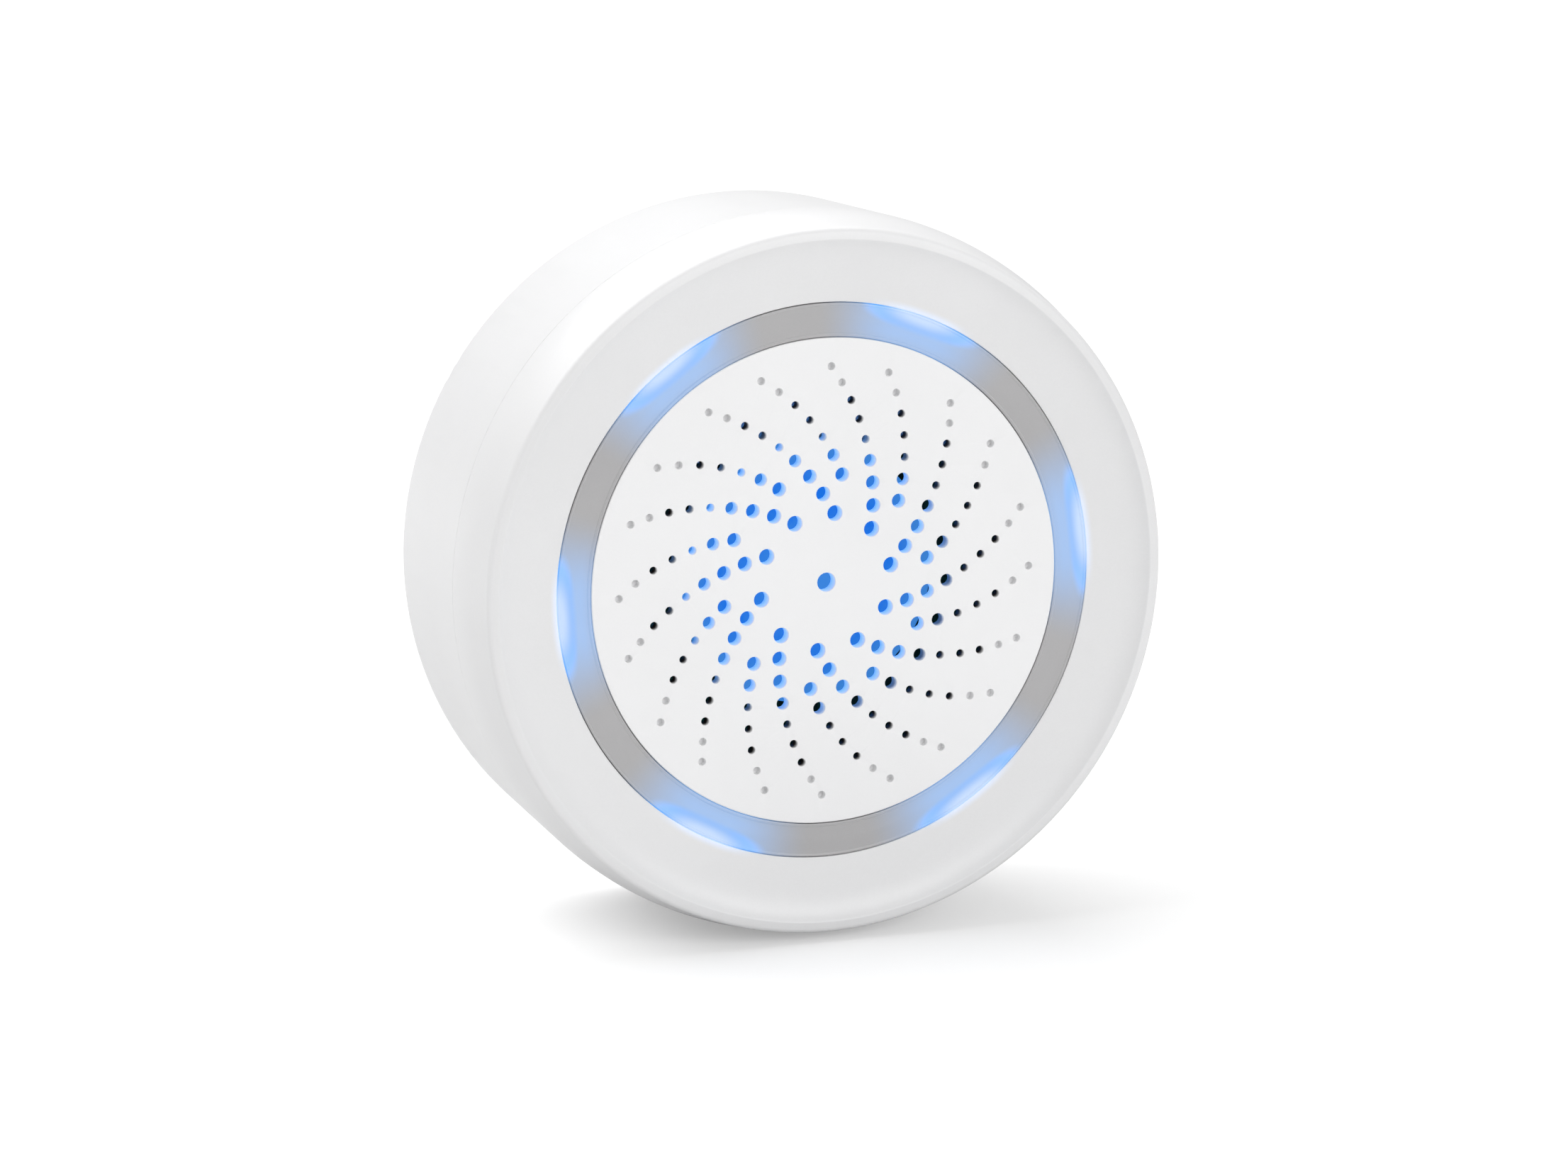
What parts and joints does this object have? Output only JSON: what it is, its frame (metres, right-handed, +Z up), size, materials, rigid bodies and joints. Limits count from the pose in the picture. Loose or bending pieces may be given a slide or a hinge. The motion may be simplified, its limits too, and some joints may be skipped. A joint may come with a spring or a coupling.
{
  "type": "alarm siren",
  "caption": "Round wall-mounted alarm siren with a spiral-perforated front, a glowing light ring, a deep tapered body and a twist-lock wall bracket.",
  "frame": {"origin": "on the siren's axis, in the plane of the wall, midway between the wall bracket's two screw slots", "axes": "+Y along the siren's axis into the wall, so the front faces -Y; +X to the viewer's right; +Z up"},
  "size_m": [0.08, 0.0334, 0.08],
  "materials": {
    "housing_white": "satin moulded",
    "grille_white": "fine satin moulded",
    "frosted_lens": "frosted translucent",
    "reflector_white": "white",
    "board_laminate": "solder mask",
    "led_package": "moulded lens",
    "chip_black": "moulded",
    "nylon_black": "satin",
    "sounder_white": "satin",
    "foam_grey": "foam",
    "brass_plate": "polished",
    "piezo_grey": "fired ceramic with silvered face",
    "tinned_metal": "tinned",
    "screw_steel": "zinc plated",
    "spring_steel": "nickel plated",
    "capacitor_sleeve": "shrink sleeve",
    "cell_can": "nickel plated",
    "cell_label": "plain printed sleeve",
    "button_grey": "satin moulded"
  },
  "bodies": {
    "bracket": {"wall_bracket": "housing_white"},
    "siren": {"backup_cell": "cell_can", "blue_leds": "led_package", "board_screws": "screw_steel", "board_spacers": "nylon_black", "boost_coil": "chip_black", "bulk_capacitor": "capacitor_sleeve", "cell_cap": "spring_steel", "cell_sleeve": "cell_label", "chip_parts": "chip_black", "controller_chip": "chip_black", "front_bezel": "housing_white", "grille_disc": "grille_white", "housing_screws": "screw_steel", "led_board": "board_laminate", "led_resistors": "chip_black", "light_ring": "frosted_lens", "main_board": "board_laminate", "negative_contact": "spring_steel", "negative_spring": "spring_steel", "piezo_ceramic": "piezo_grey", "piezo_plate": "brass_plate", "pin_header": "chip_black", "positive_contact": "spring_steel", "radio_board": "board_laminate", "radio_shield": "tinned_metal", "rear_body": "housing_white", "reflector_ring": "reflector_white", "sounder_can": "sounder_white", "sounder_cap": "sounder_white", "sounder_gasket": "foam_grey", "sounder_pins": "tinned_metal", "tact_switch": "chip_black", "tamper_spring": "spring_steel", "tamper_switch": "chip_black", "usb_socket": "tinned_metal", "usb_tongue": "nylon_black"},
    "button": {"setup_button": "button_grey", "tact_actuator": "nylon_black"},
    "plunger": {"tamper_plunger": "button_grey"}
  },
  "joints": [
    {"name": "bracket_twist", "type": "hinge", "parent": "bracket", "child": "siren", "pos_m": [0, 0, 0], "axis": [0, -1, 0], "range_deg": [0, 20]},
    {"name": "button_press", "type": "slide", "parent": "siren", "child": "button", "axis": [0, 0, 1], "range_m": [0, 0.0005], "stiffness_N_per_m": 400, "springref_m": -0.001},
    {"name": "tamper_press", "type": "slide", "parent": "siren", "child": "plunger", "axis": [0, -1, 0], "range_m": [0, 0.0012], "stiffness_N_per_m": 250, "springref_m": -0.002, "deforming": ["tamper_spring"]}
  ]
}
